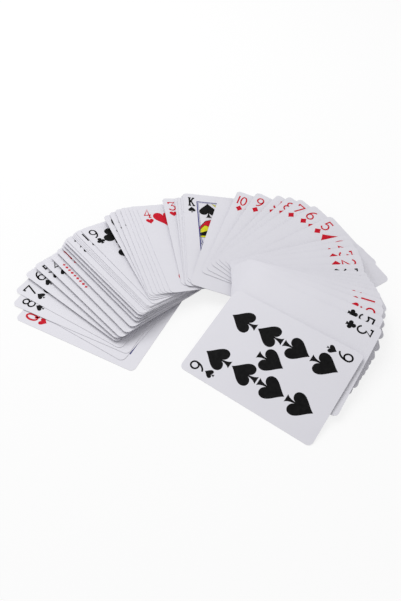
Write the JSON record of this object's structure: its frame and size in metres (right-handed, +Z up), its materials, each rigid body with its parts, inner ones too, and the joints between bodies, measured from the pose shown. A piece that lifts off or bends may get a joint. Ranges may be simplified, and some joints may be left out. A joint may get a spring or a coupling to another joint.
{
  "type": "playing card deck",
  "caption": "Deck of poker-size playing cards spread face up in a leaning fan on a table, each card a loose sheet that can be drawn out of the fan along its own length.",
  "frame": {"origin": "on the table, below the middle of the spread deck's bounding box", "axes": "+Z up, +X to the right and -Y toward the viewer, so the fan opens toward -Y"},
  "size_m": [0.2488, 0.2024, 0.0159],
  "materials": {
    "card_stock": "smooth coated card stock with a soft sheen"
  },
  "bodies": {
    "queen_of_hearts": {"queen_of_hearts": "card_stock"},
    "two_of_hearts": {"two_of_hearts": "card_stock"},
    "eight_of_spades": {"eight_of_spades": "card_stock"},
    "seven_of_spades": {"seven_of_spades": "card_stock"},
    "six_of_spades": {"six_of_spades": "card_stock"},
    "five_of_spades": {"five_of_spades": "card_stock"},
    "four_of_spades": {"four_of_spades": "card_stock"},
    "red_joker": {"red_joker": "card_stock"},
    "king_of_diamonds": {"king_of_diamonds": "card_stock"},
    "ace_of_hearts": {"ace_of_hearts": "card_stock"},
    "five_of_hearts": {"five_of_hearts": "card_stock"},
    "six_of_hearts": {"six_of_hearts": "card_stock"},
    "two_of_spades": {"two_of_spades": "card_stock"},
    "seven_of_hearts": {"seven_of_hearts": "card_stock"},
    "eight_of_hearts": {"eight_of_hearts": "card_stock"},
    "ace_of_diamonds": {"ace_of_diamonds": "card_stock"},
    "ten_of_clubs": {"ten_of_clubs": "card_stock"},
    "nine_of_clubs": {"nine_of_clubs": "card_stock"},
    "queen_of_spades": {"queen_of_spades": "card_stock"},
    "jack_of_clubs": {"jack_of_clubs": "card_stock"},
    "king_of_clubs": {"king_of_clubs": "card_stock"},
    "queen_of_clubs": {"queen_of_clubs": "card_stock"},
    "four_of_clubs": {"four_of_clubs": "card_stock"},
    "ten_of_spades": {"ten_of_spades": "card_stock"},
    "jack_of_spades": {"jack_of_spades": "card_stock"},
    "four_of_hearts": {"four_of_hearts": "card_stock"},
    "three_of_hearts": {"three_of_hearts": "card_stock"},
    "eight_of_clubs": {"eight_of_clubs": "card_stock"},
    "ace_of_spades": {"ace_of_spades": "card_stock"},
    "two_of_clubs": {"two_of_clubs": "card_stock"},
    "king_of_spades": {"king_of_spades": "card_stock"},
    "black_joker": {"black_joker": "card_stock"},
    "ten_of_diamonds": {"ten_of_diamonds": "card_stock"},
    "nine_of_diamonds": {"nine_of_diamonds": "card_stock"},
    "jack_of_diamonds": {"jack_of_diamonds": "card_stock"},
    "eight_of_diamonds": {"eight_of_diamonds": "card_stock"},
    "seven_of_diamonds": {"seven_of_diamonds": "card_stock"},
    "six_of_diamonds": {"six_of_diamonds": "card_stock"},
    "five_of_diamonds": {"five_of_diamonds": "card_stock"},
    "queen_of_diamonds": {"queen_of_diamonds": "card_stock"},
    "four_of_diamonds": {"four_of_diamonds": "card_stock"},
    "three_of_diamonds": {"three_of_diamonds": "card_stock"},
    "two_of_diamonds": {"two_of_diamonds": "card_stock"},
    "three_of_spades": {"three_of_spades": "card_stock"},
    "seven_of_clubs": {"seven_of_clubs": "card_stock"},
    "six_of_clubs": {"six_of_clubs": "card_stock"},
    "ace_of_clubs": {"ace_of_clubs": "card_stock"},
    "king_of_hearts": {"king_of_hearts": "card_stock"},
    "jack_of_hearts": {"jack_of_hearts": "card_stock"},
    "ten_of_hearts": {"ten_of_hearts": "card_stock"},
    "nine_of_hearts": {"nine_of_hearts": "card_stock"},
    "five_of_clubs": {"five_of_clubs": "card_stock"},
    "three_of_clubs": {"three_of_clubs": "card_stock"},
    "nine_of_spades": {"nine_of_spades": "card_stock"}
  },
  "joints": [
    {"name": "draw_two_of_hearts", "type": "slide", "parent": "queen_of_hearts", "child": "two_of_hearts", "axis": [-0.8434, 0.5373, 0], "range_m": [0, 0.09]},
    {"name": "draw_eight_of_spades", "type": "slide", "parent": "queen_of_hearts", "child": "eight_of_spades", "axis": [-0.8949, 0.4462, 0], "range_m": [0, 0.09]},
    {"name": "draw_seven_of_spades", "type": "slide", "parent": "queen_of_hearts", "child": "seven_of_spades", "axis": [-0.848, 0.5299, 0], "range_m": [0, 0.09]},
    {"name": "draw_six_of_spades", "type": "slide", "parent": "queen_of_hearts", "child": "six_of_spades", "axis": [-0.7716, 0.6361, 0], "range_m": [0, 0.09]},
    {"name": "draw_five_of_spades", "type": "slide", "parent": "queen_of_hearts", "child": "five_of_spades", "axis": [-0.7133, 0.7009, 0], "range_m": [0, 0.09]},
    {"name": "draw_four_of_spades", "type": "slide", "parent": "queen_of_hearts", "child": "four_of_spades", "axis": [-0.682, 0.7314, 0], "range_m": [0, 0.09]},
    {"name": "draw_red_joker", "type": "slide", "parent": "queen_of_hearts", "child": "red_joker", "axis": [-0.6626, 0.749, 0], "range_m": [0, 0.09]},
    {"name": "draw_king_of_diamonds", "type": "slide", "parent": "queen_of_hearts", "child": "king_of_diamonds", "axis": [-0.6561, 0.7547, 0], "range_m": [0, 0.09]},
    {"name": "draw_ace_of_hearts", "type": "slide", "parent": "queen_of_hearts", "child": "ace_of_hearts", "axis": [-0.6561, 0.7547, 0], "range_m": [0, 0.09]},
    {"name": "draw_five_of_hearts", "type": "slide", "parent": "queen_of_hearts", "child": "five_of_hearts", "axis": [-0.6561, 0.7547, 0], "range_m": [0, 0.09]},
    {"name": "draw_six_of_hearts", "type": "slide", "parent": "queen_of_hearts", "child": "six_of_hearts", "axis": [-0.6561, 0.7547, 0], "range_m": [0, 0.09]},
    {"name": "draw_two_of_spades", "type": "slide", "parent": "queen_of_hearts", "child": "two_of_spades", "axis": [-0.6494, 0.7604, 0], "range_m": [0, 0.09]},
    {"name": "draw_seven_of_hearts", "type": "slide", "parent": "queen_of_hearts", "child": "seven_of_hearts", "axis": [-0.6428, 0.766, 0], "range_m": [0, 0.09]},
    {"name": "draw_eight_of_hearts", "type": "slide", "parent": "queen_of_hearts", "child": "eight_of_hearts", "axis": [-0.6428, 0.766, 0], "range_m": [0, 0.09]},
    {"name": "draw_ace_of_diamonds", "type": "slide", "parent": "queen_of_hearts", "child": "ace_of_diamonds", "axis": [-0.6428, 0.766, 0], "range_m": [0, 0.09]},
    {"name": "draw_ten_of_clubs", "type": "slide", "parent": "queen_of_hearts", "child": "ten_of_clubs", "axis": [-0.6361, 0.7716, 0], "range_m": [0, 0.09]},
    {"name": "draw_nine_of_clubs", "type": "slide", "parent": "queen_of_hearts", "child": "nine_of_clubs", "axis": [-0.6293, 0.7771, 0], "range_m": [0, 0.09]},
    {"name": "draw_queen_of_spades", "type": "slide", "parent": "queen_of_hearts", "child": "queen_of_spades", "axis": [-0.4384, 0.8988, 0], "range_m": [0, 0.09]},
    {"name": "draw_jack_of_clubs", "type": "slide", "parent": "queen_of_hearts", "child": "jack_of_clubs", "axis": [-0.3907, 0.9205, 0], "range_m": [0, 0.09]},
    {"name": "draw_king_of_clubs", "type": "slide", "parent": "queen_of_hearts", "child": "king_of_clubs", "axis": [-0.3502, 0.9367, 0], "range_m": [0, 0.09]},
    {"name": "draw_queen_of_clubs", "type": "slide", "parent": "queen_of_hearts", "child": "queen_of_clubs", "axis": [-0.3338, 0.9426, 0], "range_m": [0, 0.09]},
    {"name": "draw_four_of_clubs", "type": "slide", "parent": "queen_of_hearts", "child": "four_of_clubs", "axis": [-0.3338, 0.9426, 0], "range_m": [0, 0.09]},
    {"name": "draw_ten_of_spades", "type": "slide", "parent": "queen_of_hearts", "child": "ten_of_spades", "axis": [-0.3256, 0.9455, 0], "range_m": [0, 0.09]},
    {"name": "draw_jack_of_spades", "type": "slide", "parent": "queen_of_hearts", "child": "jack_of_spades", "axis": [-0.3256, 0.9455, 0], "range_m": [0, 0.09]},
    {"name": "draw_four_of_hearts", "type": "slide", "parent": "queen_of_hearts", "child": "four_of_hearts", "axis": [-0.3256, 0.9455, 0], "range_m": [0, 0.09]},
    {"name": "draw_three_of_hearts", "type": "slide", "parent": "queen_of_hearts", "child": "three_of_hearts", "axis": [-0.1908, 0.9816, 0], "range_m": [0, 0.09]},
    {"name": "draw_eight_of_clubs", "type": "slide", "parent": "queen_of_hearts", "child": "eight_of_clubs", "axis": [-0.1045, 0.9945, 0], "range_m": [0, 0.09]},
    {"name": "draw_ace_of_spades", "type": "slide", "parent": "queen_of_hearts", "child": "ace_of_spades", "axis": [-0.0872, 0.9962, 0], "range_m": [0, 0.09]},
    {"name": "draw_two_of_clubs", "type": "slide", "parent": "queen_of_hearts", "child": "two_of_clubs", "axis": [-0.0698, 0.9976, 0], "range_m": [0, 0.09]},
    {"name": "draw_king_of_spades", "type": "slide", "parent": "queen_of_hearts", "child": "king_of_spades", "axis": [-0.061, 0.9981, 0], "range_m": [0, 0.09]},
    {"name": "draw_black_joker", "type": "slide", "parent": "queen_of_hearts", "child": "black_joker", "axis": [0.2334, 0.9724, 0], "range_m": [0, 0.09]},
    {"name": "draw_ten_of_diamonds", "type": "slide", "parent": "queen_of_hearts", "child": "ten_of_diamonds", "axis": [0.3173, 0.9483, 0], "range_m": [0, 0.09]},
    {"name": "draw_nine_of_diamonds", "type": "slide", "parent": "queen_of_hearts", "child": "nine_of_diamonds", "axis": [0.4462, 0.8949, 0], "range_m": [0, 0.09]},
    {"name": "draw_jack_of_diamonds", "type": "slide", "parent": "queen_of_hearts", "child": "jack_of_diamonds", "axis": [0.5878, 0.809, 0], "range_m": [0, 0.09]},
    {"name": "draw_eight_of_diamonds", "type": "slide", "parent": "queen_of_hearts", "child": "eight_of_diamonds", "axis": [0.6494, 0.7604, 0], "range_m": [0, 0.09]},
    {"name": "draw_seven_of_diamonds", "type": "slide", "parent": "queen_of_hearts", "child": "seven_of_diamonds", "axis": [0.7133, 0.7009, 0], "range_m": [0, 0.09]},
    {"name": "draw_six_of_diamonds", "type": "slide", "parent": "queen_of_hearts", "child": "six_of_diamonds", "axis": [0.7716, 0.6361, 0], "range_m": [0, 0.09]},
    {"name": "draw_five_of_diamonds", "type": "slide", "parent": "queen_of_hearts", "child": "five_of_diamonds", "axis": [0.8387, 0.5446, 0], "range_m": [0, 0.09]},
    {"name": "draw_queen_of_diamonds", "type": "slide", "parent": "queen_of_hearts", "child": "queen_of_diamonds", "axis": [0.9563, 0.2924, 0], "range_m": [0, 0.09]},
    {"name": "draw_four_of_diamonds", "type": "slide", "parent": "queen_of_hearts", "child": "four_of_diamonds", "axis": [0.9703, 0.2419, 0], "range_m": [0, 0.09]},
    {"name": "draw_three_of_diamonds", "type": "slide", "parent": "queen_of_hearts", "child": "three_of_diamonds", "axis": [0.9863, 0.165, 0], "range_m": [0, 0.09]},
    {"name": "draw_two_of_diamonds", "type": "slide", "parent": "queen_of_hearts", "child": "two_of_diamonds", "axis": [0.9945, 0.1045, 0], "range_m": [0, 0.09]},
    {"name": "draw_three_of_spades", "type": "slide", "parent": "queen_of_hearts", "child": "three_of_spades", "axis": [0.9997, 0.0262, 0], "range_m": [0, 0.09]},
    {"name": "draw_seven_of_clubs", "type": "slide", "parent": "queen_of_hearts", "child": "seven_of_clubs", "axis": [0.9976, -0.0698, 0], "range_m": [0, 0.09]},
    {"name": "draw_six_of_clubs", "type": "slide", "parent": "queen_of_hearts", "child": "six_of_clubs", "axis": [0.9903, -0.1392, 0], "range_m": [0, 0.09]},
    {"name": "draw_ace_of_clubs", "type": "slide", "parent": "queen_of_hearts", "child": "ace_of_clubs", "axis": [0.9781, -0.2079, 0], "range_m": [0, 0.09]},
    {"name": "draw_king_of_hearts", "type": "slide", "parent": "queen_of_hearts", "child": "king_of_hearts", "axis": [0.9613, -0.2756, 0], "range_m": [0, 0.09]},
    {"name": "draw_jack_of_hearts", "type": "slide", "parent": "queen_of_hearts", "child": "jack_of_hearts", "axis": [0.9397, -0.342, 0], "range_m": [0, 0.09]},
    {"name": "draw_ten_of_hearts", "type": "slide", "parent": "queen_of_hearts", "child": "ten_of_hearts", "axis": [0.9171, -0.3987, 0], "range_m": [0, 0.09]},
    {"name": "draw_nine_of_hearts", "type": "slide", "parent": "queen_of_hearts", "child": "nine_of_hearts", "axis": [0.887, -0.4617, 0], "range_m": [0, 0.09]},
    {"name": "draw_five_of_clubs", "type": "slide", "parent": "queen_of_hearts", "child": "five_of_clubs", "axis": [0.8572, -0.515, 0], "range_m": [0, 0.09]},
    {"name": "draw_three_of_clubs", "type": "slide", "parent": "queen_of_hearts", "child": "three_of_clubs", "axis": [0.8387, -0.5446, 0], "range_m": [0, 0.09]},
    {"name": "draw_nine_of_spades", "type": "slide", "parent": "queen_of_hearts", "child": "nine_of_spades", "axis": [0.8141, -0.5807, 0], "range_m": [0, 0.09]}
  ]
}
